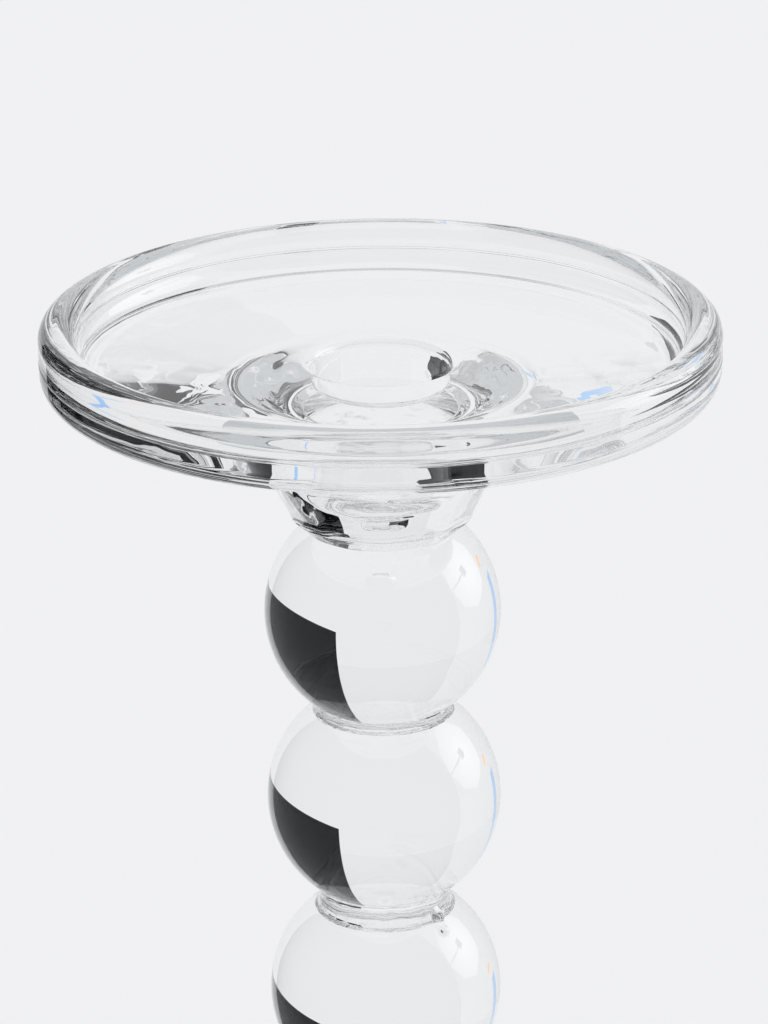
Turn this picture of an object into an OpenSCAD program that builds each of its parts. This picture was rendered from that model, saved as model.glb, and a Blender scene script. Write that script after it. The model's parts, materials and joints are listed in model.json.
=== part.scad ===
// Clear glass candlestick: a wide dish on a column of five glass balls, over a round foot.
// The dish takes a pillar candle, and the socket in its middle takes a taper candle.
// Each piece is pressed glass with ground flats, and a clear layer joins it to the next.
// Sizes are millimetres. The foot stands on Z = 0 and the column's axis is Z.

/* [Dish] */
// Outside diameter of the dish
dish_d = 110; // [90:1:140]
// Length from the dish's lip to the end of its neck
dish_h = 33.5; // [28:0.5:44]
// Height of the rim's outer wall
rim_h = 11; // [9:0.5:16]
// Thickness of the rim's wall
rim_w = 6; // [5:0.5:9]
// Radius of the lip's outer edge
lip_r = 2.5; // [1:0.5:3]
// Radius of the lip's inner edge
inner_lip_r = 3; // [1:0.5:3]
// Radius of the rim's lower outside edge
rim_under_r = 3.5; // [1:0.5:4]
// Depth of the mould line that runs round the rim
mould_line = 0.3; // [0.1:0.1:0.6]
// Depth of the candle seat below the lip
seat_depth = 7.5; // [4:0.5:8]
// Radius where the rim's inner wall meets the seat
seat_corner_r = 4; // [1:0.5:4]
// Slope of the belly, from the rim down to the neck, in degrees
belly_slope = 14; // [6:1:18]
// Radius of the flare from the neck into the belly
belly_flare_r = 5; // [3:0.5:8]

/* [Taper socket] */
// Bore for the butt of a taper candle
socket_d = 22.5; // [18:0.1:24]
// Radius of the socket's rounded bottom
socket_bottom_r = 10; // [2:0.5:10.5]
// Radius of the socket's mouth
socket_mouth_r = 2; // [0.5:0.5:3]
// Diameter of the tip that the pressing pin left in the middle of the socket's bottom
socket_tip_d = 5.2; // [4:0.1:8]
// Depth of the tip below the socket's bottom
socket_tip_h = 2.6; // [2.5:0.1:4]
// Radius of the tip's round end
socket_tip_r = 1.8; // [0.5:0.1:1.9]
// Thickness of the glass between the tip and the end of the neck
socket_floor_t = 2; // [1:0.5:8]

/* [Necks] */
// Diameter of the flat at the end of a neck
neck_end_d = 30; // [24:0.5:35]
// Slope of a neck's side from the upright, in degrees
neck_taper = 28; // [20:1:30]

/* [Balls] */
// Diameter of each ball
ball_d = 39; // [32:0.5:48]
// Diameter of the two flats ground on a ball
ball_flat_d = 22.4; // [18:0.1:27]
// Diameter of the flats on the first ball, which is ground less than the others
first_ball_flat_d = 20; // [16:0.1:27]

/* [Clear joints] */
// Thickness of the clear layer between two flats
joint_t = 0.5; // [0.3:0.1:2]
// Thickness of the one joint that was left tall
tall_joint_t = 3.8; // [0.5:0.1:5]
// Width of the collar round the flats at a joint between two balls
collar_w = 0.6; // [0.2:0.1:2]
// Width of the collar round a ball's flat at a neck
neck_collar_w = 2.5; // [1:0.1:3.5]
// Width of the neck's flat that is left bare round the collar
neck_land = 0.5; // [0.2:0.1:1.5]
// Clearance between a collar and the round side of a ball
joint_gap = 0.05; // [0.02:0.01:0.2]
// Diameter of the drop that hangs on the tall joint
drop_d = 2; // [1:0.1:2.5]
// Direction of the drop round the column, in degrees
drop_turn = -41; // [-180:1:180]

/* [Foot] */
// Outside diameter of the foot
foot_d = 100; // [86:1:130]
// Height of the foot, from the table to the end of its neck
foot_h = 29; // [27:0.5:44]
// Height of the foot's edge
foot_edge_h = 8; // [7:0.5:12]
// Radius of the foot's upper edge
foot_edge_r = 4; // [1:0.5:5]
// Radius of the foot's lower edge
foot_under_r = 1.5; // [0.5:0.5:2]
// How far the foot's top rises from its edge to the flat round its neck
foot_rise = 2; // [1:0.5:4]
// Diameter of the flat round the foot's neck
foot_top_d = 72; // [68:1:76]
// Radius of the flare from the neck into the foot
foot_flare_r = 10; // [4:0.5:10]
// Diameter of the shallow hollow under the foot
foot_hollow_d = 80; // [60:1:82]
// Depth of the hollow under the foot
foot_hollow_h = 1.5; // [0.5:0.5:4]
// Width of the slope at the hollow's edge
foot_hollow_slope = 4; // [1:0.5:10]

/* [Hidden] */
$fn = 96;

ball_count = 5;
// The joint under this ball is the tall one.
tall_joint = 2;
// A ball's height between its flats is ground to this step.
ground_step = 0.1;
// How far a cutting shape runs past the face that it cuts
past = 1;
// Angle at which a flare's round meets the neck's side and the plate
flare_meet = 3;

// Balls are numbered from the top. Their heights stack up from the foot.
function flat_of(n) = n == 1 ? first_ball_flat_d : ball_flat_d;
function height_of(n) =
    round(sqrt(pow(ball_d, 2) - pow(flat_of(n), 2)) / ground_step) * ground_step;
function joint_under(n) = n == tall_joint ? tall_joint_t : joint_t;
function ball_bottom(n) = n == ball_count ? foot_h + joint_t : ball_top(n + 1) + joint_under(n);
function ball_top(n) = ball_bottom(n) + height_of(n);
function ball_middle(n) = ball_bottom(n) + height_of(n) / 2;

neck_end_z = ball_top(1) + joint_t;
lip_z = neck_end_z + dish_h;
seat_z = lip_z - seat_depth;
rim_bottom_z = lip_z - rim_h;
// The slopes of the belly would meet on the axis at this height.
belly_z = rim_bottom_z - (dish_d / 2 - rim_under_r) * tan(belly_slope);
socket_tip_z = neck_end_z + socket_floor_t;
socket_bottom_z = socket_tip_z + socket_tip_h;

// What a round of radius r takes away from a square corner at the origin that points
// to +X +Y
module corner_waste(r) {
    difference() {
        translate([-r, -r]) square(r + past);
        translate([-r, -r]) circle(r);
    }
}

// Half section of a neck. Its end lies at height 0, and it widens upwards until it flares
// into a plate. The plate's face is at height h on the axis, and rises outwards by slope.
module neck_section(h, slope, flare) {
    end_r = neck_end_d / 2;
    // The flare's round stands this far off both sides, so that it crosses them cleanly.
    stand_off = flare * cos(flare_meet);
    flare_x = (end_r + stand_off / cos(neck_taper)
               + (h - stand_off / cos(slope)) * tan(neck_taper))
              / (1 - tan(neck_taper) * tan(slope));
    flare_z = h + flare_x * tan(slope) - stand_off / cos(slope);
    plate_x = flare_x - stand_off * sin(slope);
    plate_z = flare_z + stand_off * cos(slope);
    difference() {
        polygon([
            [0, 0],
            [end_r, 0],
            [flare_x - stand_off * cos(neck_taper), flare_z + stand_off * sin(neck_taper)],
            [flare_x, flare_z],
            [plate_x, plate_z],
            [plate_x, plate_z + past],
            [0, h + past]
        ]);
        translate([flare_x, flare_z]) circle(flare);
    }
}

// Half section of the rim and the belly, before the seat is cut out of them
module rim_section() {
    edge_r = dish_d / 2;
    translate([0, rim_bottom_z]) difference() {
        square([edge_r, rim_h]);
        translate([edge_r, rim_h]) corner_waste(lip_r);
        translate([edge_r, rim_h / 2]) circle(mould_line);
        mirror([0, 1]) translate([edge_r, 0]) corner_waste(rim_under_r);
    }
    polygon([
        [0, belly_z],
        [edge_r - rim_under_r, rim_bottom_z],
        [edge_r - rim_under_r, rim_bottom_z + past],
        [0, rim_bottom_z + past]
    ]);
}

// Half section of a hollow with a round mouth and a round bottom corner
module hollow_section(r, bottom_z, depth, bottom_r, mouth_r) {
    translate([0, bottom_z]) difference() {
        square([r, depth + past]);
        mirror([0, 1]) translate([r, 0]) corner_waste(bottom_r);
    }
    translate([r, bottom_z + depth]) mirror([1, 0]) corner_waste(mouth_r);
}

module dish() {
    color("aliceblue") rotate_extrude() difference() {
        union() {
            rim_section();
            translate([0, neck_end_z])
                neck_section(belly_z - neck_end_z, belly_slope, belly_flare_r);
        }
        hollow_section(dish_d / 2 - rim_w, seat_z, seat_depth, seat_corner_r, inner_lip_r);
        hollow_section(socket_d / 2, socket_bottom_z, seat_z - socket_bottom_z,
                       socket_bottom_r, socket_mouth_r);
        hollow_section(socket_tip_d / 2, socket_tip_z, socket_tip_h, socket_tip_r,
                       socket_tip_h - socket_tip_r);
    }
}

// Ball n, grown all round by gap, between the planes of its own two flats
module ball_shape(n, gap) {
    intersection() {
        translate([0, 0, ball_middle(n)]) sphere(d = ball_d + 2 * gap);
        translate([0, 0, ball_bottom(n)]) cylinder(d = ball_d + 2 * past, h = height_of(n));
    }
}

module ball(n) {
    color("lightcyan") ball_shape(n, 0);
}

// The clear layer under ball n. It fills the wedge round the flats out to its collar.
module ball_joint(n) {
    lower_z = ball_top(n + 1);
    upper_z = ball_bottom(n);
    joint_d = max(flat_of(n), flat_of(n + 1)) + 2 * collar_w;
    // The cylinder runs this far past the flats, to where the balls are wider than it is.
    reach = height_of(n) / 4;
    color("whitesmoke") difference() {
        union() {
            translate([0, 0, lower_z - reach])
                cylinder(d = joint_d, h = upper_z - lower_z + 2 * reach);
            if (n == tall_joint) joint_drop(joint_d / 2, lower_z);
        }
        ball_shape(n, joint_gap);
        ball_shape(n + 1, joint_gap);
    }
}

// A drop that ran out of the joint and set as it hung on the lower edge of its collar,
// which has radius r and its lower flat at height z
module joint_drop(r, z) {
    rotate([0, 0, drop_turn]) translate([r + drop_d / 8, 0, z + drop_d / 4])
        sphere(d = drop_d);
}

// Half section of the collar between a neck's flat at height h and ball n, whose middle
// is at height 0
module neck_joint_section(n, h) {
    collar_r = flat_of(n) / 2 + neck_collar_w;
    touch_z = sqrt(pow(ball_d / 2 + joint_gap, 2) - pow(collar_r, 2));
    polygon([
        [0, touch_z - past],
        [collar_r, touch_z - past],
        [collar_r, touch_z + joint_gap],
        [neck_end_d / 2 - neck_land, h],
        [0, h]
    ]);
}

module neck_joint_top() {
    color("whitesmoke") difference() {
        translate([0, 0, ball_middle(1)])
            rotate_extrude() neck_joint_section(1, neck_end_z - ball_middle(1));
        ball_shape(1, joint_gap);
    }
}

module neck_joint_bottom() {
    color("whitesmoke") difference() {
        translate([0, 0, ball_middle(ball_count)]) mirror([0, 0, 1])
            rotate_extrude()
                neck_joint_section(ball_count, ball_middle(ball_count) - foot_h);
        ball_shape(ball_count, joint_gap);
    }
}

// Half section of the foot's plate, with the shallow hollow under it
module foot_plate_section() {
    edge_r = foot_d / 2;
    hollow_r = foot_hollow_d / 2;
    top_z = foot_edge_h + foot_rise;
    difference() {
        union() {
            difference() {
                square([edge_r, foot_edge_h]);
                translate([edge_r, foot_edge_h]) corner_waste(foot_edge_r);
                mirror([0, 1]) translate([edge_r, 0]) corner_waste(foot_under_r);
            }
            polygon([
                [0, foot_edge_h - past],
                [edge_r - foot_edge_r, foot_edge_h - past],
                [edge_r - foot_edge_r, foot_edge_h],
                [foot_top_d / 2, top_z],
                [0, top_z]
            ]);
        }
        polygon([
            [0, -past],
            [hollow_r, -past],
            [hollow_r, 0],
            [hollow_r - foot_hollow_slope, foot_hollow_h],
            [0, foot_hollow_h]
        ]);
    }
}

module foot() {
    color("aliceblue") rotate_extrude() {
        foot_plate_section();
        translate([0, foot_h]) mirror([0, 1])
            neck_section(foot_h - foot_edge_h - foot_rise, 0, foot_flare_r);
    }
}

dish();
ball(1);  // ball_1
ball(2);  // ball_2
ball(3);  // ball_3
ball(4);  // ball_4
ball(5);  // ball_5
foot();
neck_joint_top();
ball_joint(1);  // ball_joint_1
ball_joint(2);  // ball_joint_2
ball_joint(3);  // ball_joint_3
ball_joint(4);  // ball_joint_4
neck_joint_bottom();
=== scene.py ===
# %% [markdown]
# # A clear glass candlestick
# A wide pressed dish stands on a column of ground glass balls over a round foot. Every
# piece is clear, so nearly all that the eye sees is the studio, bent by the glass. Three
# things carry the look: true curved surfaces, joints that light passes straight through,
# and something dark and something bright for the glass to show.
#
# This lesson reads the sizes, draws the half sections, turns them into glass, bonds them,
# and then builds the studio that the glass needs.

# %% Load the frame
import json
import math

import bmesh
import bpy
from mathutils import Matrix, Vector


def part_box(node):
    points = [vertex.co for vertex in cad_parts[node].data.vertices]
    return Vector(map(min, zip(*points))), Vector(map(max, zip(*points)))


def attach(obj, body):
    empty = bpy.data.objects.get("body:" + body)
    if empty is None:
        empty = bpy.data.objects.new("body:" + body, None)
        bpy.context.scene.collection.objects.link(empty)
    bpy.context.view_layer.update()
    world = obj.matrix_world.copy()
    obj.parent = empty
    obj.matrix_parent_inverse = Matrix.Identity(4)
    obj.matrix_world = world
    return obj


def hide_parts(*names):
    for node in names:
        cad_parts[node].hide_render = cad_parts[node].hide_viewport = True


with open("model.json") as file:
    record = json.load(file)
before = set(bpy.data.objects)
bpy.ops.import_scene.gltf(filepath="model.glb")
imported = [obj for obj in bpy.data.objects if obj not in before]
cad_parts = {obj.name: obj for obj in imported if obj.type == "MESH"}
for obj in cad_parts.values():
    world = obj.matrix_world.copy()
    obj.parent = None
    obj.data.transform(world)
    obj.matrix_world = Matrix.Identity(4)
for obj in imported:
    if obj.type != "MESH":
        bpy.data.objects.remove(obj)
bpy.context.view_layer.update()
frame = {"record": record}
MM = 0.001

# %% [markdown]
# ## Read the driving sizes from the frame
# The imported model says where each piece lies. The lip, the flats of the balls and the ends
# of the necks are the tops and bottoms of its boxes, so nothing is fitted by eye here. The
# roundings and slopes that a box can't tell are named below, in the pressed dish's order
# from the lip inwards and down.

# %% Places and radii from the frame
dish_low, dish_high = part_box("dish")
foot_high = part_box("foot")[1]
lip_z = dish_high.z
neck_end_z = dish_low.z
foot_top_z = foot_high.z
dish_radius = dish_high.x
foot_radius = foot_high.x

mounts = {mount["name"]: mount for mount in frame["record"]["mounts"]}
socket_radius = mounts["taper_socket"]["dims"]["r_mm"] * MM
seat_z = mounts["candle_seat"]["pos_m"][2]
print("lip", lip_z, "seat", seat_z, "neck end", neck_end_z, "foot's top", foot_top_z)

# %% Sizes of the dish
RIM_HEIGHT = 11 * MM
RIM_WALL = 6 * MM
LIP_OUTER_ROUND = 2.5 * MM
LIP_INNER_ROUND = 3 * MM
RIM_UNDER_ROUND = 3.5 * MM
MOULD_LINE = 0.3 * MM
SEAT_CORNER = 4 * MM
BELLY_SLOPE = 14
BELLY_FLARE = 5 * MM
SOCKET_MOUTH = 2 * MM
SOCKET_ROUND = 10 * MM
TIP_RADIUS = 2.6 * MM
TIP_DEPTH = 2.6 * MM
TIP_ROUND = 1.8 * MM
SOCKET_FLOOR = 2 * MM

# %% Sizes of the necks
NECK_RADIUS = 15 * MM
NECK_TAPER = 28
NECK_LAND = 0.5 * MM
neck_bond_radius = NECK_RADIUS - NECK_LAND

# %% [markdown]
# ## Draw a half section
# Each piece is a body of revolution, so its shape is one line in the plane of its axis: a
# list of (radius, height) points. It could be traced with a Bezier curve and spun, but a
# line of arcs and straight runs is what a mould maker draws, and it meets the CAD exactly.
# Straight runs are cut into short steps, so that the turned skin has even faces
# everywhere and can carry the fine ripple of pressed glass.

# %% Arcs and straight runs
LINE_STEP = 1.2 * MM
ARC_STEP = 7
SAME_POINT = 1e-7


def arc(centre, radius, start, end, step=ARC_STEP):
    """Points of an arc about centre, from one angle to another, in degrees."""
    count = max(2, round(abs(end - start) / step))
    angles = [math.radians(start + (end - start) * cut / count) for cut in range(count + 1)]
    return [
        (centre[0] + radius * math.cos(angle), centre[1] + radius * math.sin(angle))
        for angle in angles
    ]


def joined(parts, step=LINE_STEP):
    """One outline through all the parts, with the straight runs between them cut up."""
    outline = [parts[0][0]]
    for point in [point for part in parts for point in part]:
        last = outline[-1]
        run = math.dist(last, point)
        if run < SAME_POINT:
            continue
        cuts = max(1, round(run / step))
        for cut in range(1, cuts + 1):
            share = cut / cuts
            outline.append(
                tuple(a + (b - a) * share for a, b in zip(last, point))
            )
    return outline


# %% [markdown]
# ## The neck's flare
# The dish and the foot both end in a neck that tapers to a small ground flat. Where the
# neck's side runs into the plate, the mould has a round. Its centre stands one radius off
# the neck's side and one radius off the plate's face, which leans on the dish and lies
# flat on the foot, so one function serves both.

# %% Find the flare


def neck_flare(end_z, plate_z, slope, flare):
    """The flare's arc, from the plate to the neck's side.

    plate_z is the height at which the plate's face would cross the axis.
    """
    up = 1 if plate_z > end_z else -1
    taper = math.radians(NECK_TAPER)
    lean = math.radians(slope)
    off_plate = flare / math.cos(lean)
    middle_r = (
        NECK_RADIUS
        + flare / math.cos(taper)
        + (abs(plate_z - end_z) - off_plate) * math.tan(taper)
    ) / (1 - math.tan(taper) * math.tan(lean))
    middle_h = abs(plate_z - end_z) + middle_r * math.tan(lean) - off_plate
    points = arc((middle_r, middle_h), flare, 90 + slope, 180 - NECK_TAPER)
    return [(r, end_z + up * height) for r, height in points]


# %% [markdown]
# ## The dish's section
# The dish is one pressing. From the middle outwards its line runs through the small tip
# that the mould's pin leaves, the round-bottomed socket for a taper candle, the flat seat
# for a pillar candle, and the thick rim with the mould line round it. It comes back
# under the rim, down the sloping belly and the neck, to the ground flat.

# %% Draw the dish
rim_bottom_z = lip_z - RIM_HEIGHT
mould_z = rim_bottom_z + RIM_HEIGHT / 2
seat_edge = dish_radius - RIM_WALL
belly_edge = dish_radius - RIM_UNDER_ROUND
belly_z = rim_bottom_z - belly_edge * math.tan(math.radians(BELLY_SLOPE))
socket_tip_z = neck_end_z + SOCKET_FLOOR
socket_bottom_z = socket_tip_z + TIP_DEPTH


def socket_section():
    """The socket's line, from the middle of its tip to the round of its mouth."""
    tip_mouth = TIP_DEPTH - TIP_ROUND
    bottom_middle = socket_radius - SOCKET_ROUND
    start = math.degrees(math.asin((TIP_RADIUS + tip_mouth - bottom_middle) / SOCKET_ROUND)) - 90
    return [
        [(0, socket_tip_z)],
        arc((TIP_RADIUS - TIP_ROUND, socket_tip_z + TIP_ROUND), TIP_ROUND, -90, 0, 15),
        arc((TIP_RADIUS + tip_mouth, socket_bottom_z - tip_mouth), tip_mouth, 180, 90, 15),
        arc((bottom_middle, socket_bottom_z + SOCKET_ROUND), SOCKET_ROUND, start, 0),
        arc((socket_radius + SOCKET_MOUTH, seat_z - SOCKET_MOUTH), SOCKET_MOUTH, 180, 90),
    ]


def rim_section():
    """The rim's line, from the seat's corner over the lip to the belly's edge."""
    outer_lip = (dish_radius - LIP_OUTER_ROUND, lip_z - LIP_OUTER_ROUND)
    inner_lip = (seat_edge + LIP_INNER_ROUND, lip_z - LIP_INNER_ROUND)
    under = (belly_edge, rim_bottom_z + RIM_UNDER_ROUND)
    return [
        arc((seat_edge - SEAT_CORNER, seat_z + SEAT_CORNER), SEAT_CORNER, -90, 0),
        arc(inner_lip, LIP_INNER_ROUND, 180, 90),
        arc(outer_lip, LIP_OUTER_ROUND, 90, 0),
        arc((dish_radius, mould_z), MOULD_LINE, 90, 270, 30),
        arc(under, RIM_UNDER_ROUND, 0, -90),
    ]


def dish_section():
    return joined(
        socket_section()
        + rim_section()
        + [
            neck_flare(neck_end_z, belly_z, BELLY_SLOPE, BELLY_FLARE),
            [(NECK_RADIUS, neck_end_z)],
            [(neck_bond_radius, neck_end_z)],
            [(0, neck_end_z)],
        ]
    )


print("dish section", len(dish_section()), "points")

# %% [markdown]
# ## The turned-glass tree
# Every piece here is a line turned round the axis, so one Geometry Nodes tree makes them
# all. The Spin tool would do it too, but a tree keeps the rule in view: a grid with one
# row for each point of the line, each row swung round the axis. Two numbers ride on the
# line's points. "bonded" marks the faces that touch the next piece, which take their own
# material, and "rippled" says how far the skin may wander from the true shape, as pressed
# glass does. The ripple is noise with a fixed seed. It sinks nearly all of the skin, so
# that the piece keeps inside its box.

# %% Small helpers for trees


def add(tree, kind, inputs=None, **settings):
    """A node with its settings made and its inputs filled with values or linked sockets."""
    node = tree.nodes.new(kind)
    for name, value in settings.items():
        setattr(node, name, value)
    for key, value in (inputs or {}).items():
        socket = node.inputs[key]
        if isinstance(value, bpy.types.NodeSocket):
            tree.links.new(value, socket)
        else:
            socket.default_value = value
    return node


def sum_of(tree, operation, *values):
    """The result of one Math node."""
    return add(tree, "ShaderNodeMath", dict(enumerate(values)), operation=operation).outputs[0]


def point_value(tree, name):
    """A number that rides on the points under this name."""
    node = add(tree, "GeometryNodeInputNamedAttribute", {"Name": name}, data_type="FLOAT")
    return node.outputs["Attribute"]


# %% Turn the line


def turned_grid(tree, section, steps):
    """A grid whose rows are the section's points and whose columns go round the axis."""
    count = add(
        tree, "GeometryNodeAttributeDomainSize", {"Geometry": section}, component="MESH"
    ).outputs["Point Count"]
    columns = sum_of(tree, "ADD", steps, 1)
    grid = add(tree, "GeometryNodeMeshGrid", {"Vertices X": columns, "Vertices Y": count})
    index = add(tree, "GeometryNodeInputIndex").outputs[0]
    row = sum_of(tree, "MODULO", index, count)
    column = sum_of(tree, "FLOOR", sum_of(tree, "DIVIDE", index, count))
    swing = sum_of(tree, "DIVIDE", sum_of(tree, "MULTIPLY", column, math.tau), steps)

    def on_row(value, data_type):
        node = add(
            tree, "GeometryNodeSampleIndex", {"Geometry": section, "Index": row},
            data_type=data_type, domain="POINT",
        )
        tree.links.new(value, node.inputs["Value"])
        return node.outputs["Value"]

    here = on_row(add(tree, "GeometryNodeInputPosition").outputs[0], "FLOAT_VECTOR")
    place = add(tree, "ShaderNodeSeparateXYZ", {0: here}).outputs
    turned = add(
        tree, "ShaderNodeCombineXYZ",
        {
            "X": sum_of(tree, "MULTIPLY", place["X"], sum_of(tree, "COSINE", swing)),
            "Y": sum_of(tree, "MULTIPLY", place["X"], sum_of(tree, "SINE", swing)),
            "Z": place["Z"],
        },
    ).outputs[0]
    shaped = grid.outputs["Mesh"]
    for name in ("bonded", "rippled"):
        shaped = add(
            tree, "GeometryNodeStoreNamedAttribute",
            {"Geometry": shaped, "Name": name, "Value": on_row(point_value(tree, name), "FLOAT")},
            data_type="FLOAT", domain="POINT",
        ).outputs[0]
    return add(tree, "GeometryNodeSetPosition", {"Geometry": shaped, "Position": turned}).outputs[0]


# %% Ripple the skin
WELD = 1e-6
NOISE_LOW = 0.2


def rippled_skin(tree, shaped, given):
    """The closed skin, sunk by seeded noise where it is rippled.

    The grid's normals point into the glass here, so a positive depth sinks the skin.
    The noise falls under NOISE_LOW at about one point in ten thousand.
    """
    shaped = add(
        tree, "GeometryNodeMergeByDistance", {"Geometry": shaped, "Distance": WELD}
    ).outputs[0]
    noise = add(
        tree, "ShaderNodeTexNoise",
        {
            "Vector": add(tree, "GeometryNodeInputPosition").outputs[0],
            "W": given["Ripple Seed"],
            "Scale": sum_of(tree, "DIVIDE", 1, given["Ripple Size"]),
            "Detail": 1.0,
        },
        noise_dimensions="4D",
    ).outputs[0]
    depth = sum_of(
        tree, "MULTIPLY",
        sum_of(tree, "SUBTRACT", noise, NOISE_LOW),
        sum_of(tree, "MULTIPLY", point_value(tree, "rippled"), given["Ripple Height"]),
    )
    offset = add(
        tree, "ShaderNodeVectorMath",
        {0: add(tree, "GeometryNodeInputNormal").outputs[0], "Scale": depth},
        operation="SCALE",
    ).outputs[0]
    return add(tree, "GeometryNodeSetPosition", {"Geometry": shaped, "Offset": offset}).outputs[0]


# %% Give the faces their materials
ALL_BONDED = 0.99


def build_turned_tree():
    tree = bpy.data.node_groups.new("turned_glass", "GeometryNodeTree")
    tree.is_modifier = True
    for name, kind in (
        ("Geometry", "Geometry"), ("Steps Round", "Int"), ("Glass", "Material"),
        ("Bond", "Material"), ("Ripple Height", "Float"), ("Ripple Size", "Float"),
        ("Ripple Seed", "Float"),
    ):
        tree.interface.new_socket(name, in_out="INPUT", socket_type="NodeSocket" + kind)
    tree.interface.new_socket("Geometry", in_out="OUTPUT", socket_type="NodeSocketGeometry")
    given = add(tree, "NodeGroupInput").outputs
    shaped = turned_grid(tree, given["Geometry"], given["Steps Round"])
    shaped = rippled_skin(tree, shaped, given)
    shaped = add(tree, "GeometryNodeSetShadeSmooth", {"Geometry": shaped}).outputs[0]
    shaped = add(tree, "GeometryNodeRealizeInstances", {"Geometry": shaped}).outputs[0]
    shaped = add(
        tree, "GeometryNodeSetMaterial", {"Geometry": shaped, "Material": given["Glass"]}
    ).outputs[0]
    on_face = add(
        tree, "GeometryNodeFieldOnDomain", {"Value": point_value(tree, "bonded")},
        data_type="FLOAT", domain="FACE",
    ).outputs[0]
    is_bonded = add(
        tree, "FunctionNodeCompare", {0: on_face, 1: ALL_BONDED},
        data_type="FLOAT", operation="GREATER_THAN",
    ).outputs[0]
    shaped = add(
        tree, "GeometryNodeSetMaterial",
        {"Geometry": shaped, "Selection": is_bonded, "Material": given["Bond"]},
    ).outputs[0]
    out = add(tree, "NodeGroupOutput")
    tree.links.new(shaped, out.inputs[0])
    return tree


turned_tree = build_turned_tree()
input_ids = {
    item.name: item.identifier
    for item in turned_tree.interface.items_tree
    if item.in_out == "INPUT"
}
print("turned_glass inputs", sorted(input_ids))

# %% [markdown]
# ## Clear glass
# Lead-free crystal glass bends light by 1.52. A glass shader alone looks like a computer's
# idea of glass, because the real thing is never even: the melt leaves faint cords, which
# shift the tint by a hair, and fire polish leaves a very shallow wave. Both are noise on
# object coordinates. The wave is a bump far too low to see as relief. It only makes the
# lines that the glass shows run a little unevenly.

# %% Mix the glass
CLEAR = (0.99, 0.993, 0.992, 1)
CORD = (0.975, 0.984, 0.983, 1)
CORD_STARTS = 0.4
CORD_FULL = 0.75
GLASS_INDEX = 1.52
BOND_INDEX = 1.5


def glass_material(name, ior, cord_scale, wave_scale, wave_height):
    material = bpy.data.materials.new(name)
    material.use_nodes = True
    tree = material.node_tree
    shader = tree.nodes["Principled BSDF"]
    place = add(tree, "ShaderNodeTexCoord").outputs["Object"]
    cords = add(
        tree, "ShaderNodeTexNoise", {"Vector": place, "Scale": cord_scale, "Detail": 2.0}
    ).outputs[0]
    tint = add(tree, "ShaderNodeValToRGB", {"Fac": cords})
    tint.color_ramp.elements[0].position = CORD_STARTS
    tint.color_ramp.elements[0].color = CLEAR
    tint.color_ramp.elements[1].position = CORD_FULL
    tint.color_ramp.elements[1].color = CORD
    tree.links.new(tint.outputs["Color"], shader.inputs["Base Color"])
    wave = add(
        tree, "ShaderNodeTexNoise", {"Vector": place, "Scale": wave_scale, "Detail": 1.0}
    ).outputs[0]
    bump = add(
        tree, "ShaderNodeBump", {"Height": wave, "Distance": wave_height, "Strength": 1.0}
    )
    tree.links.new(bump.outputs[0], shader.inputs["Normal"])
    shader.inputs["Transmission Weight"].default_value = 1.0
    shader.inputs["Roughness"].default_value = 0.0
    shader.inputs["IOR"].default_value = ior
    return material


pressed_glass = glass_material(
    "pressed_glass", GLASS_INDEX, cord_scale=18, wave_scale=160, wave_height=0.02 * MM
)
ground_glass = glass_material(
    "ground_glass", GLASS_INDEX, cord_scale=22, wave_scale=60, wave_height=0.004 * MM
)
clear_bond = glass_material(
    "clear_bond", BOND_INDEX, cord_scale=60, wave_scale=420, wave_height=0.03 * MM
)

# %% [markdown]
# ## Bonded faces
# Where clear adhesive fills the space between two ground flats, light passes with hardly
# any bend, because both sides have nearly the same index. Two touching glass surfaces
# would each bend and mirror it, and the column would look like loose beads. So a face
# that is bonded is simply transparent. On the adhesive's own faces a little of the
# roughness of the ground flat still shows as small frosty patches, so there the
# transparent shader is mixed with a pale matte one by a noise mask.

# %% Mix the bonded faces
FROST = (0.86, 0.88, 0.88, 1)
FROST_ROUGHNESS = 0.6
FROST_GRAIN = 260.0
FROST_STARTS = 0.56
FROST_FULL = 0.72
FROST_STRENGTH = 0.35


def bonded_material(name, frost):
    material = bpy.data.materials.new(name)
    material.use_nodes = True
    tree = material.node_tree
    shader = tree.nodes["Principled BSDF"]
    clear = add(tree, "ShaderNodeBsdfTransparent").outputs[0]
    surface = tree.nodes["Material Output"].inputs["Surface"]
    if not frost:
        tree.nodes.remove(shader)
        tree.links.new(clear, surface)
        return material
    shader.inputs["Base Color"].default_value = FROST
    shader.inputs["Roughness"].default_value = FROST_ROUGHNESS
    place = add(tree, "ShaderNodeTexCoord").outputs["Object"]
    patches = add(
        tree, "ShaderNodeTexNoise", {"Vector": place, "Scale": FROST_GRAIN, "Detail": 4.0}
    ).outputs[0]
    mask = add(
        tree, "ShaderNodeMapRange",
        {
            "Value": patches, "From Min": FROST_STARTS, "From Max": FROST_FULL,
            "To Min": 0.0, "To Max": frost,
        },
    ).outputs[0]
    mix = add(tree, "ShaderNodeMixShader", {0: mask, 1: clear, 2: shader.outputs[0]})
    tree.links.new(mix.outputs[0], surface)
    return material


bonded_face = bonded_material("bonded_face", 0)
frosted_bond = bonded_material("frosted_bond", FROST_STRENGTH)

# %% [markdown]
# ## Turn a section into a piece
# A section becomes a mesh of loose edges with its two numbers, the tree turns it, and the
# evaluated result is kept as a plain mesh. The normals are made to point outwards, edges
# over 35 degrees stay sharp, and the volume and the open edges are printed: a glass piece
# has to be closed, because light counts how often it goes in and out.

# %% Make the piece
SHARP_FROM = 35


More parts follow.
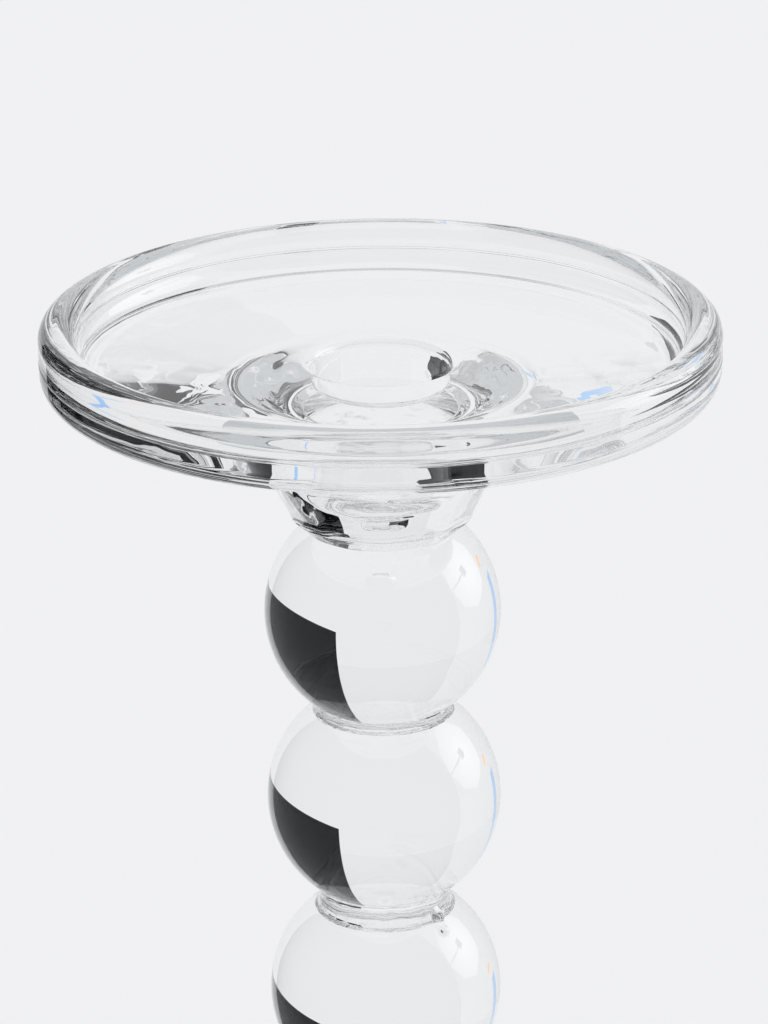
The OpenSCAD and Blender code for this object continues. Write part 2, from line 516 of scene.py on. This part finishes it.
def section_mesh(name, outline, rules):
    mesh = bpy.data.meshes.new(name)
    edges = [(first, first + 1) for first in range(len(outline) - 1)]
    mesh.from_pydata([(r, 0, z) for r, z in outline], edges, [])
    for attribute, rule in rules.items():
        layer = mesh.attributes.new(attribute, "FLOAT", "POINT")
        for item, point in zip(layer.data, outline):
            item.value = rule(*point)
    return mesh


def keep_used_materials(mesh):
    """Drop the empty slot that the new mesh starts with."""
    used = [slot for slot in mesh.materials if slot]
    indices = [used.index(mesh.materials[face.material_index]) for face in mesh.polygons]
    mesh.materials.clear()
    for slot in used:
        mesh.materials.append(slot)
    mesh.polygons.foreach_set("material_index", indices)


def close_and_measure(mesh):
    work = bmesh.new()
    work.from_mesh(mesh)
    bmesh.ops.recalc_face_normals(work, faces=work.faces)
    volume = work.calc_volume(signed=True)
    open_edges = sum(not edge.is_manifold for edge in work.edges)
    work.to_mesh(mesh)
    work.free()
    mesh.set_sharp_from_angle(angle=math.radians(SHARP_FROM))
    print(mesh.name, len(mesh.polygons), "faces", round(volume / MM**3), "mm3", open_edges, "open")


def turn(name, outline, glass, bonded, bond=None, rippled=None, ripple=(0, 1), seed=0, steps=192):
    """A piece of glass turned from its outline. ripple is the height and size of its wave."""
    rules = {"bonded": bonded, "rippled": rippled or (lambda r, z: 0)}
    holder = bpy.data.objects.new(name + "_section", section_mesh(name, outline, rules))
    bpy.context.scene.collection.objects.link(holder)
    modifier = holder.modifiers.new("turned", "NODES")
    modifier.node_group = turned_tree
    values = {
        "Steps Round": steps,
        "Glass": glass,
        "Bond": bond or bonded_face,
        "Ripple Height": ripple[0],
        "Ripple Size": float(ripple[1]),
        "Ripple Seed": float(seed),
    }
    for socket, value in values.items():
        modifier[input_ids[socket]] = value
    bpy.context.view_layer.update()
    shown = bpy.context.evaluated_depsgraph_get()
    mesh = bpy.data.meshes.new_from_object(holder.evaluated_get(shown))
    bpy.data.objects.remove(holder)
    mesh.name = name
    keep_used_materials(mesh)
    close_and_measure(mesh)
    piece = bpy.data.objects.new(name, mesh)
    bpy.context.scene.collection.objects.link(piece)
    return piece


def finish_piece(piece, node):
    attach(piece, "root")
    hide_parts(node)


# %% [markdown]
# ## The balls
# Each ball is cut with one flat above and one below, and the first is ground a little less
# than the rest. A ball's skin has to be a true circle, because a lens shows every facet,
# so its arcs take short steps. The skin is bonded out to the collar of each joint, which
# is wider than the flat by the width of the squeezed-out ring.

# %% Sizes of a ball
BALL_COUNT = 5
BALL_RADIUS = 19.5 * MM
COLLAR = 0.6 * MM
NECK_COLLAR = 2.5 * MM
TOUCH = 1e-6


class Ball:
    """Where one ball lies, and the radius of its flats."""

    def __init__(self, number):
        low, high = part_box(f"ball_{number}")
        self.low = low.z
        self.high = high.z
        self.middle = (low.z + high.z) / 2
        self.flat = math.sqrt(BALL_RADIUS**2 - (high.z - self.middle) ** 2)

    def skin(self, radius, side):
        """Height of the skin at this radius, on the upper (1) or lower (-1) side."""
        return self.middle + side * math.sqrt(BALL_RADIUS**2 - radius**2)


balls = {number: Ball(number) for number in range(1, BALL_COUNT + 1)}
print("flats", [round(ball.flat / MM, 2) for ball in balls.values()])

# %% Find the collars


def collar_radius(number):
    """Radius of the collar under this ball. Number 0 is the dish's neck."""
    if number == 0:
        return balls[1].flat + NECK_COLLAR
    if number == BALL_COUNT:
        return balls[BALL_COUNT].flat + NECK_COLLAR
    return max(balls[number].flat, balls[number + 1].flat) + COLLAR


def polar(radius):
    """Angle from the ball's axis to a ring of this radius on its skin, in degrees."""
    return math.degrees(math.asin(radius / BALL_RADIUS))


# %% Draw and turn the balls
BALL_STEP = 2.5
FINE_STEP = 1
FINE_ROUND = 400


def ball_section(number, step):
    ball = balls[number]
    upper = polar(collar_radius(number - 1))
    lower = polar(collar_radius(number))
    flat = polar(ball.flat)
    centre = (0, ball.middle)
    return joined(
        [
            [(0, ball.low)],
            arc(centre, BALL_RADIUS, flat - 90, lower - 90, step),
            arc(centre, BALL_RADIUS, lower - 90, 90 - upper, step),
            arc(centre, BALL_RADIUS, 90 - upper, 90 - flat, step),
            [(0, ball.high)],
        ]
    )


def ball_bonded(number):
    middle = balls[number].middle
    upper = collar_radius(number - 1) + TOUCH
    lower = collar_radius(number) + TOUCH
    return lambda r, z: r < (upper if z > middle else lower)


def turn_ball(number, step=BALL_STEP, steps=192):
    name = f"glass_ball_{number}"
    piece = turn(name, ball_section(number, step), ground_glass, ball_bonded(number), steps=steps)
    finish_piece(piece, f"ball_{number}")
    return piece


ball_pieces = {
    number: turn_ball(number, FINE_STEP, FINE_ROUND) if number in (1, 3) else turn_ball(number)
    for number in balls
}

# %% [markdown]
# ## Adhesive that ran
# When the column was bonded, a little adhesive ran down the front of the first ball, and
# less under the tall joint onto the third. It set as a thin tongue that ends in a bead.
# A separate bead would need its own bonded face. It is simpler to swell the ball's own
# skin by the tongue's thickness, and the light can hardly tell, because the two indices
# are so close: two soft steps across its width and a small mound at its end.

# %% Swell the skin
TONGUE_EDGE = 0.6 * MM
TONGUE_SHARE = 0.5
TONGUE_SWAY = 0.08
SWAY_LENGTH = 1.3 * MM


def soft_step(distance, width):
    """1 well inside an edge, 0 well outside it."""
    share = min(1.0, max(0.0, 0.5 - distance / width))
    return share * share * (3 - 2 * share)


def add_run(piece, number, direction, start, end, width, film, bead, bead_half):
    """A run of adhesive on a ball's upper skin.

    start and end are angles from the ball's axis, and bead_half holds half the bead's
    width and half its length.
    """
    centre = Vector((0, 0, balls[number].middle))
    moved = 0
    for vertex in piece.data.vertices:
        spoke = vertex.co - centre
        if spoke.length < BALL_RADIUS - TOUCH or spoke.z < 0:
            continue
        angle = math.degrees(math.acos(spoke.z / spoke.length))
        turned = math.remainder(
            math.atan2(spoke.y, spoke.x) - math.radians(direction), math.tau
        )
        across = turned * math.hypot(spoke.x, spoke.y)
        along = math.radians(angle - end) * BALL_RADIUS
        if angle < start or abs(across) > 2 * width:
            continue
        waist = width * (TONGUE_SHARE + TONGUE_SWAY * math.sin(along / SWAY_LENGTH))
        tongue = film * soft_step(abs(across) - waist, TONGUE_EDGE)
        tongue *= soft_step(along, TONGUE_EDGE)
        mound = bead * max(0.0, 1 - (across / bead_half[0]) ** 2 - (along / bead_half[1]) ** 2)
        vertex.co += spoke.normalized() * (tongue + mound)
        moved += 1
    piece.data.update()
    print("run on ball", number, "moved", moved, "points")


add_run(
    ball_pieces[1], 1, direction=-91, start=40.5, end=54.7, width=4.6 * MM,
    film=0.3 * MM, bead=1.5 * MM, bead_half=(2.4 * MM, 1.3 * MM),
)
add_run(
    ball_pieces[3], 3, direction=-42, start=38, end=43, width=2.2 * MM,
    film=0.15 * MM, bead=0.7 * MM, bead_half=(1.2 * MM, 0.9 * MM),
)

# %% [markdown]
# ## The dish
# The dish is pressed, so its skin is the least even of all. The plunger leaves the seat
# and the rim nearly true, and the mould leaves the belly wavy and the neck wavier still,
# which breaks up the dark card behind it. The ripple's weight says so for each part.

# %% Turn the dish
NECK_RIPPLE = 4.0
BELLY_RIPPLE = 1.0
RIM_RIPPLE = 0.35
SEAT_RIPPLE = 0.12
DISH_WAVE = (0.22 * MM, 7 * MM)


def dish_bonded(r, z):
    return z < neck_end_z + TOUCH and r < neck_bond_radius + TOUCH


def dish_rippled(r, z):
    if z < neck_end_z + TOUCH:
        return 0
    if z < belly_z and r > socket_radius + TOUCH:
        return NECK_RIPPLE
    if z < rim_bottom_z - TOUCH and r > socket_radius + TOUCH:
        return BELLY_RIPPLE
    if r > seat_edge - TOUCH:
        return RIM_RIPPLE
    return SEAT_RIPPLE


dish = turn(
    "glass_dish", dish_section(), pressed_glass, dish_bonded,
    rippled=dish_rippled, ripple=DISH_WAVE, seed=3, steps=320,
)
finish_piece(dish, "dish")

# %% [markdown]
# ## The foot
# The foot is pressed in the same way: a round plate with a soft edge and a neck like the
# dish's, upside down. Under it a shallow hollow leaves only a ring to stand on, so that it
# doesn't rock.

# %% Turn the foot
FOOT_EDGE_HEIGHT = 8 * MM
FOOT_EDGE_ROUND = 4 * MM
FOOT_UNDER_ROUND = 1.5 * MM
FOOT_PLATE_Z = 10 * MM
FOOT_TOP_RADIUS = 36 * MM
FOOT_FLARE = 10 * MM
HOLLOW_RADIUS = 40 * MM
HOLLOW_DEPTH = 1.5 * MM
HOLLOW_SLOPE = 4 * MM
FOOT_WAVE = (0.12 * MM, 8 * MM)


def foot_section():
    upper = (foot_radius - FOOT_EDGE_ROUND, FOOT_EDGE_HEIGHT - FOOT_EDGE_ROUND)
    under = (foot_radius - FOOT_UNDER_ROUND, FOOT_UNDER_ROUND)
    return joined(
        [
            [(0, foot_top_z)],
            [(neck_bond_radius, foot_top_z)],
            [(NECK_RADIUS, foot_top_z)],
            neck_flare(foot_top_z, FOOT_PLATE_Z, 0, FOOT_FLARE)[::-1],
            [(FOOT_TOP_RADIUS, FOOT_PLATE_Z)],
            arc(upper, FOOT_EDGE_ROUND, 90, 0),
            arc(under, FOOT_UNDER_ROUND, 0, -90, 15),
            [(HOLLOW_RADIUS, 0)],
            [(HOLLOW_RADIUS - HOLLOW_SLOPE, HOLLOW_DEPTH)],
            [(0, HOLLOW_DEPTH)],
        ]
    )


def foot_bonded(r, z):
    return z > foot_top_z - TOUCH and r < neck_bond_radius + TOUCH


def foot_rippled(r, z):
    return 1 if HOLLOW_DEPTH + TOUCH < z < foot_top_z - TOUCH and r < foot_radius - TOUCH else 0


foot = turn(
    "glass_foot", foot_section(), pressed_glass, foot_bonded,
    rippled=foot_rippled, ripple=FOOT_WAVE, seed=5, steps=256,
)
finish_piece(foot, "foot")

# %% [markdown]
# ## The clear joints
# The adhesive fills the gap between two flats and a wedge round them. It shrinks as it
# cures, so its side is hollow, not straight, and a little uneven, which breaks what the
# thin ring shows into short dark and bright dashes. The side's line is an arc through the
# two skins that it clings to, sunk in by a set depth. The CAD keeps its collars a hair
# clear of the balls' sides, and here they end on the skins.

# %% Draw a joint between two balls
JOINT_STEP = 0.3 * MM
SIDE_STEP = 12


def hollow_side(radius, low_z, high_z, sink):
    """An arc from the lower skin to the upper one, sunk in towards the axis."""
    half = (high_z - low_z) / 2
    curve = (half**2 + sink**2) / (2 * sink)
    swing = math.degrees(math.asin(half / curve))
    middle = (radius - sink + curve, (low_z + high_z) / 2)
    return arc(middle, curve, 180 + swing, 180 - swing, SIDE_STEP)


def joint_section(number, sink):
    upper = balls[number]
    lower = balls[number + 1]
    edge = collar_radius(number)
    return joined(
        [
            [(0, lower.high)],
            arc((0, lower.middle), BALL_RADIUS, 90 - polar(lower.flat), 90 - polar(edge), 1),
            hollow_side(edge, lower.skin(edge, 1), upper.skin(edge, -1), sink),
            arc((0, upper.middle), BALL_RADIUS, polar(edge) - 90, polar(upper.flat) - 90, 1),
            [(0, upper.low)],
        ],
        step=JOINT_STEP,
    )


# %% Tell the side from the bonded faces


def side_rules(low_touch, high_touch, side_r):
    """The two rules of a joint: all but its side is bonded, and its side is rippled."""

    def on_side(r, z):
        return low_touch + TOUCH < z < high_touch - TOUCH and r > side_r - TOUCH

    return (lambda r, z: not on_side(r, z)), (lambda r, z: 1 if on_side(r, z) else 0)


# %% Turn the joints between the balls
TALL_JOINT = 2
JOINT_SINK = 0.3 * MM
TALL_JOINT_SINK = 0.95 * MM
JOINT_WAVE = (0.35 * MM, 2.6 * MM)
joint_pieces = {}
for number in range(1, BALL_COUNT):
    edge = collar_radius(number)
    sink = TALL_JOINT_SINK if number == TALL_JOINT else JOINT_SINK
    bonded, rippled = side_rules(
        balls[number + 1].skin(edge, 1), balls[number].skin(edge, -1), edge - sink
    )
    joint_pieces[number] = turn(
        f"clear_joint_{number}", joint_section(number, sink), clear_bond, bonded,
        bond=frosted_bond if number == TALL_JOINT else bonded_face,
        rippled=rippled, ripple=JOINT_WAVE, seed=number, steps=360,
    )
    finish_piece(joint_pieces[number], f"ball_joint_{number}")

# %% [markdown]
# ## The drop
# One drop ran out of the tall joint and set as it hung on the collar. It is a swelling of
# the joint's own side: round seen from the front, and about a third deeper than its
# radius.

# %% Swell the joint into a drop
DROP_TURN = -41
DROP_RADIUS = 1.1 * MM
DROP_DEPTH = 1.5 * MM


def add_drop(piece, number):
    edge = collar_radius(number)
    middle_z = balls[number + 1].skin(edge, 1) + DROP_RADIUS
    for vertex in piece.data.vertices:
        radius = math.hypot(vertex.co.x, vertex.co.y)
        if radius < edge - TALL_JOINT_SINK - JOINT_WAVE[0]:
            continue
        turned = math.remainder(
            math.atan2(vertex.co.y, vertex.co.x) - math.radians(DROP_TURN), math.tau
        )
        off = math.hypot(turned * radius, vertex.co.z - middle_z) / DROP_RADIUS
        if off < 1:
            grown = (radius + DROP_DEPTH * math.sqrt(1 - off**2)) / radius
            vertex.co.x *= grown
            vertex.co.y *= grown
    piece.data.update()


add_drop(joint_pieces[TALL_JOINT], TALL_JOINT)

# %% [markdown]
# ## The joints at the necks
# At each neck the ball's flat is smaller than the neck's, so the adhesive spreads out to
# the neck as a low cone.

# %% Turn the joints at the necks


def neck_joint_section(ball, flat_z, side, edge):
    angles = (90 - polar(ball.flat), 90 - polar(edge))
    return joined(
        [
            [(0, ball.high if side == 1 else ball.low)],
            arc((0, ball.middle), BALL_RADIUS, side * angles[0], side * angles[1], 1),
            [(neck_bond_radius, flat_z)],
            [(0, flat_z)],
        ],
        step=JOINT_STEP,
    )


for name, number, flat_z, side in (
    ("top", 1, neck_end_z, 1),
    ("bottom", BALL_COUNT, foot_top_z, -1),
):
    edge = collar_radius(0 if side == 1 else BALL_COUNT)
    touches = sorted((balls[number].skin(edge, side), flat_z))
    bonded, rippled = side_rules(touches[0], touches[1], edge)
    piece = turn(
        f"clear_neck_joint_{name}", neck_joint_section(balls[number], flat_z, side, edge),
        clear_bond, bonded, bond=frosted_bond, rippled=rippled, ripple=JOINT_WAVE,
        seed=10 + side, steps=256,
    )
    finish_piece(piece, f"neck_joint_{name}")

# %% [markdown]
# ## The studio for glass
# Clear glass has no colour of its own, so the studio is what it shows. The floor glows a
# little, like a light table, and the world behind is about as bright, so that the glass
# melts into its ground. Then something dark is put where the glass will bend it into view:
# a black card behind on the right, seen only through the glass. A grey screen in front is
# seen only through the glass too, and gives the dish's belly its greys. A dark screen
# round the front and left is seen only as a reflection, which keeps the front faces clear,
# and a lit umbrella on the right puts a soft highlight on each ball.
#
# Choosing the rays that meet a card is a studio trick that no real card can do. It keeps
# each effect apart, and no card hides the piece from the camera. The price is that the
# cards are set for one view: from other sides the glass shows them where they happen to
# fall.

# %% Render settings
scene = bpy.context.scene
scene.view_settings.view_transform = "Standard"
scene.cycles.max_bounces = 32
scene.cycles.transmission_bounces = 32
scene.cycles.glossy_bounces = 12
scene.cycles.diffuse_bounces = 3
scene.cycles.transparent_max_bounces = 48
scene.cycles.use_denoising = True

# %% Stage helpers


def card_material(name, colour, glow=0.0):
    """A matte card that mirrors nothing and may glow."""
    material = bpy.data.materials.new(name)
    material.use_nodes = True
    shader = material.node_tree.nodes["Principled BSDF"]
    shader.inputs["Base Color"].default_value = colour
    shader.inputs["Roughness"].default_value = 1.0
    shader.inputs["Specular IOR Level"].default_value = 0.0
    if glow:
        shader.inputs["Emission Color"].default_value = colour
        shader.inputs["Emission Strength"].default_value = glow
    return material


def stage_mesh(name, vertices, faces, material, seen_by=None):
    """A stage object. seen_by names the only rays that meet it."""
    mesh = bpy.data.meshes.new(name)
    mesh.from_pydata(vertices, [], faces)
    mesh.materials.append(material)
    thing = bpy.data.objects.new(name, mesh)
    scene.collection.objects.link(thing)
    if seen_by:
        for ray in ("camera", "diffuse", "glossy", "transmission", "shadow"):
            setattr(thing, "visible_" + ray, ray in seen_by)
    return thing


def upright(foot_points, height):
    """Points and faces of a wall that stands on a line of floor points."""
    points = [(x, y, z) for x, y in foot_points for z in (0, height)]
    faces = [
        (2 * step, 2 * step + 2, 2 * step + 3, 2 * step + 1)
        for step in range(len(foot_points) - 1)
    ]
    return points, faces


# %% Floor and world
FLOOR_HALF = 8
PAPER = (0.5, 0.5, 0.505, 1)
PAPER_GLOW = 1.04
SKY = (0.985, 0.987, 1, 1)
SKY_BEHIND = 0.86
SKY_IN_FRONT = 0.5

corners = [(-1, -1), (1, -1), (1, 1), (-1, 1)]
stage_mesh(
    "floor", [(x * FLOOR_HALF, y * FLOOR_HALF, 0) for x, y in corners], [(0, 1, 2, 3)],
    card_material("studio_paper", PAPER, PAPER_GLOW),
)

world = bpy.data.worlds.new("studio")
scene.world = world
world.use_nodes = True
sky = world.node_tree
direction = add(sky, "ShaderNodeTexCoord").outputs["Generated"]
depth = add(sky, "ShaderNodeSeparateXYZ", {0: direction}).outputs["Y"]
level = add(
    sky, "ShaderNodeMapRange",
    {
        "Value": depth, "From Min": -0.5, "From Max": 0.1,
        "To Min": SKY_IN_FRONT, "To Max": SKY_BEHIND,
    },
    interpolation_type="SMOOTHSTEP",
).outputs[0]
sky.links.new(level, sky.nodes["Background"].inputs["Strength"])
sky.nodes["Background"].inputs["Color"].default_value = SKY

# %% Black card, dark screen and grey screen
BLACK = (0.004, 0.005, 0.006, 1)
CARD_LINE = [(0.2, 0.70), (0.56, 0.15), (0.60, -0.12)]
CARD_HEIGHT = 1.2
SCREEN_RADIUS = 0.2
SCREEN_HEIGHT = 0.9
SCREEN_ANGLES = range(135, 346, 15)
GREY_FIRST = 5
GREY = (0.28, 0.29, 0.3, 1)
GREY_GLOW = 1.2

black = card_material("black_card", BLACK)
stage_mesh("black_card", *upright(CARD_LINE, CARD_HEIGHT), black, ["transmission"])
screen_line = [
    (SCREEN_RADIUS * math.cos(math.radians(a)), SCREEN_RADIUS * math.sin(math.radians(a)))
    for a in SCREEN_ANGLES
]
stage_mesh("dark_screen", *upright(screen_line, SCREEN_HEIGHT), black, ["glossy"])
mat_points = [(x, y, MM / 2) for x, y in screen_line]
stage_mesh("dark_mat", mat_points, [tuple(range(len(mat_points)))], black, ["glossy"])

grey = card_material("grey_card", GREY, GREY_GLOW)
grey_line = screen_line[GREY_FIRST:]
stage_mesh("grey_screen", *upright(grey_line, SCREEN_HEIGHT), grey, ["transmission"])

# %% [markdown]
# ## A hint of split colour
# Thick glass splits white light a little where it bends it hard, so the real piece has
# thin blue and amber streaks near its right edge. The glass shader bends all colours
# alike. A narrow blue strip and a small amber card, set where those edges look, stand in
# for the streaks at hardly any cost.

# %% Coloured strips
BLUE = (0.28, 0.44, 0.68, 1)
AMBER = (0.95, 0.55, 0.25, 1)
BLUE_LINE = [(-0.31, 0.135), (-0.335, 0.185)]
BLUE_HEIGHT = 0.32
AMBER_CORNERS = [(-0.205, 0.132), (-0.212, 0.122), (-0.248, 0.158), (-0.241, 0.168)]
stage_mesh(
    "blue_strip", *upright(BLUE_LINE, BLUE_HEIGHT), card_material("blue_strip", BLUE, 0.6),
    ["transmission"],
)
stage_mesh(
    "amber_card", [(x, y, MM) for x, y in AMBER_CORNERS], [(0, 1, 2, 3)],
    card_material("amber_card", AMBER, 0.5), ["transmission"],
)

# %% [markdown]
# ## The umbrella
# The light is a photographer's umbrella, and the balls mirror its shape: eight ribs pull
# its edge into scallops, and the lamp and its shaft stand in front of it as a small dark
# mark. A mesh shows that in the highlight, which an area lamp can't. It glows most in the
# middle, where the lamp is near.

# %% Build the umbrella
UMBRELLA_PLACE = Vector((1.12, 0.30, 0.62))
UMBRELLA_AIM = Vector((0, 0, 0.18))
UMBRELLA_RADIUS = 0.54
UMBRELLA_DEPTH = 0.12
UMBRELLA_GLOW = 3.2
EDGE_SHARE = 0.55
RIBS = 8
SCALLOP = 0.06
RINGS = 6
ROUND = RIBS * 4


def glow_material(name, strength):
    material = bpy.data.materials.new(name)
    material.use_nodes = True
    tree = material.node_tree
    tree.nodes.remove(tree.nodes["Principled BSDF"])
    place = add(tree, "ShaderNodeUVMap").outputs[0]
    out = add(tree, "ShaderNodeVectorMath", {0: place}, operation="LENGTH").outputs["Value"]
    fall = add(
        tree, "ShaderNodeMapRange",
        {"Value": out, "To Min": strength, "To Max": strength * EDGE_SHARE},
    ).outputs[0]
    glow = add(tree, "ShaderNodeEmission", {"Strength": fall})
    tree.links.new(glow.outputs[0], tree.nodes["Material Output"].inputs["Surface"])
    return material


def umbrella():
    turn_to = (UMBRELLA_AIM - UMBRELLA_PLACE).to_track_quat("Z", "Y")
    flat = [(0.0, 0.0)]
    for ring in range(1, RINGS + 1):
        for rib in range(ROUND):
            angle = math.tau * rib / ROUND
            share = ring / RINGS * (1 - SCALLOP * abs(math.sin(angle * RIBS / 2)))
            flat.append((share * math.cos(angle), share * math.sin(angle)))
    vertices = [
        UMBRELLA_PLACE
        + turn_to @ Vector((u * UMBRELLA_RADIUS, v * UMBRELLA_RADIUS,
                            UMBRELLA_DEPTH * math.hypot(u, v) ** 2))
        for u, v in flat
    ]
    faces = []
    for rib in range(ROUND):
        after = (rib + 1) % ROUND
        faces.append((0, 1 + rib, 1 + after))
        for inner in range(1, 1 + (RINGS - 1) * ROUND, ROUND):
            outer = inner + ROUND
            faces.append((inner + rib, outer + rib, outer + after, inner + after))
    thing = stage_mesh(
        "umbrella", vertices, faces, glow_material("umbrella_glow", UMBRELLA_GLOW), ["glossy"]
    )
    layer = thing.data.uv_layers.new(name="flat")
    for loop in thing.data.loops:
        layer.data[loop.index].uv = flat[loop.vertex_index]
    return turn_to


def lamp(turn_to):
    """The lamp's head, and the shaft that runs from it to the umbrella's rim."""
    head = 0.06
    shaft = 0.012
    front = UMBRELLA_DEPTH + 0.1
    outline = [(-head, -head), (head, -head), (head, head), (-head, head)]
    rod = [(0, -shaft), (UMBRELLA_RADIUS, -shaft), (UMBRELLA_RADIUS, shaft), (0, shaft)]
    points = [UMBRELLA_PLACE + turn_to @ Vector((u, v, front)) for u, v in outline + rod]
    stage_mesh("lamp", points, [(0, 1, 2, 3), (4, 5, 6, 7)], black, ["glossy"])


lamp(umbrella())

# %% [markdown]
# ## The camera
# A long lens from a little above looks down at the dish by 21 degrees. It stands on the
# column's side of the table, so that the near rim covers the belly and the balls run out
# of the frame below.

# %% Place the camera
LENS = 158.2
SENSOR = 36
CAMERA_PLACE = Vector((0, -0.68586, 0.45932))
CAMERA_PITCH = 20.99
CAMERA_YAW = 0.03
CAMERA_ROLL = 0.476

camera = bpy.data.cameras.new("camera")
camera.lens = LENS
camera.sensor_width = SENSOR
camera.clip_end = 50
eye = bpy.data.objects.new("camera", camera)
scene.collection.objects.link(eye)
scene.camera = eye
turned = (
    Matrix.Rotation(math.radians(-CAMERA_YAW), 4, "Z")
    @ Matrix.Rotation(math.radians(90 - CAMERA_PITCH), 4, "X")
    @ Matrix.Rotation(math.radians(-CAMERA_ROLL), 4, "Z")
)
eye.matrix_world = Matrix.Translation(CAMERA_PLACE) @ turned
print("camera stands", round(CAMERA_PLACE.length, 3), "m from the foot")
